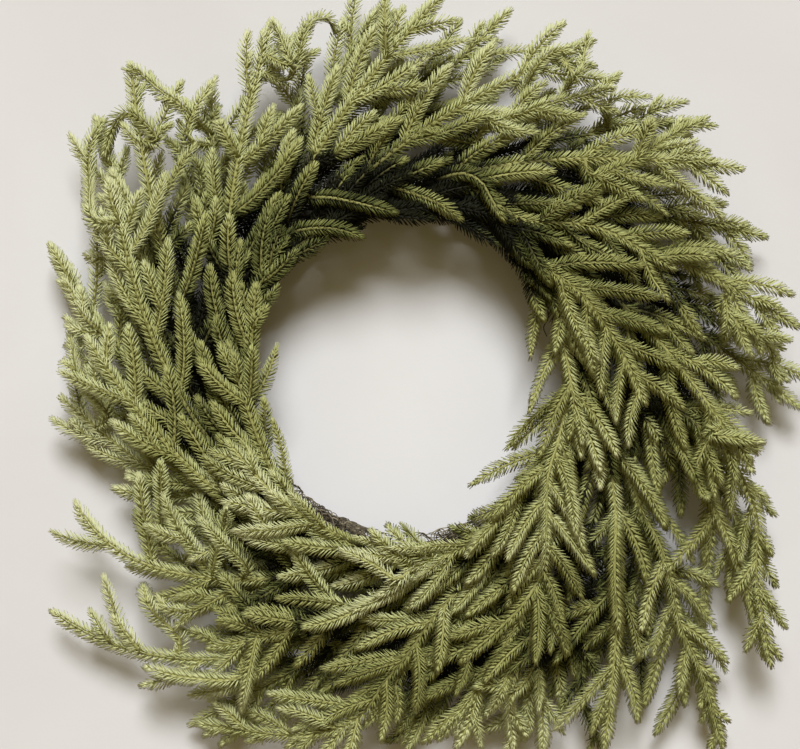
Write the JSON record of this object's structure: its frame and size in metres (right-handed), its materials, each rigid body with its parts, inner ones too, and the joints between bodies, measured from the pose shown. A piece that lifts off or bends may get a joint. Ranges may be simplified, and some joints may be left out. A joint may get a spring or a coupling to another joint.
{
  "type": "evergreen wreath",
  "caption": "Round evergreen wreath: needled sprays bound with wire to a twisted vine ring, all sweeping clockwise round an open centre.",
  "frame": {"origin": "bottom centre of the bounding box, on the surface that the wreath lies on", "axes": "+Z out of the wreath's front, away from the surface; +Y toward the top of the wreath as hung; +X toward its right as seen from the front"},
  "size_m": [0.6622, 0.6656, 0.0863],
  "materials": {
    "vine": "rough dry bark",
    "wire": "dark green lacquer",
    "foliage": "matt waxy needles on green stems"
  },
  "bodies": {
    "root": {"vine_1": "vine", "vine_2": "vine", "vine_3": "vine", "binding_wire": "wire", "spray_01_outer": "foliage", "spray_01_middle": "foliage", "spray_01_inner": "foliage", "spray_02_outer": "foliage", "spray_02_middle": "foliage", "spray_02_inner": "foliage", "spray_03_outer": "foliage", "spray_03_middle": "foliage", "spray_03_inner": "foliage", "spray_04_outer": "foliage", "spray_04_middle": "foliage", "spray_04_inner": "foliage", "spray_05_outer": "foliage", "spray_05_middle": "foliage", "spray_05_inner": "foliage", "spray_06_outer": "foliage", "spray_06_middle": "foliage", "spray_06_inner": "foliage", "spray_07_outer": "foliage", "spray_07_middle": "foliage", "spray_07_inner": "foliage", "spray_08_outer": "foliage", "spray_08_middle": "foliage", "spray_08_inner": "foliage", "spray_09_outer": "foliage", "spray_09_middle": "foliage", "spray_09_inner": "foliage", "spray_10_outer": "foliage", "spray_10_middle": "foliage", "spray_10_inner": "foliage", "spray_11_outer": "foliage", "spray_11_middle": "foliage", "spray_11_inner": "foliage", "spray_12_outer": "foliage", "spray_12_middle": "foliage", "spray_12_inner": "foliage", "spray_13_outer": "foliage", "spray_13_middle": "foliage", "spray_13_inner": "foliage", "spray_14_outer": "foliage", "spray_14_middle": "foliage", "spray_14_inner": "foliage", "spray_15_outer": "foliage", "spray_15_middle": "foliage", "spray_15_inner": "foliage"}
  },
  "joints": []
}
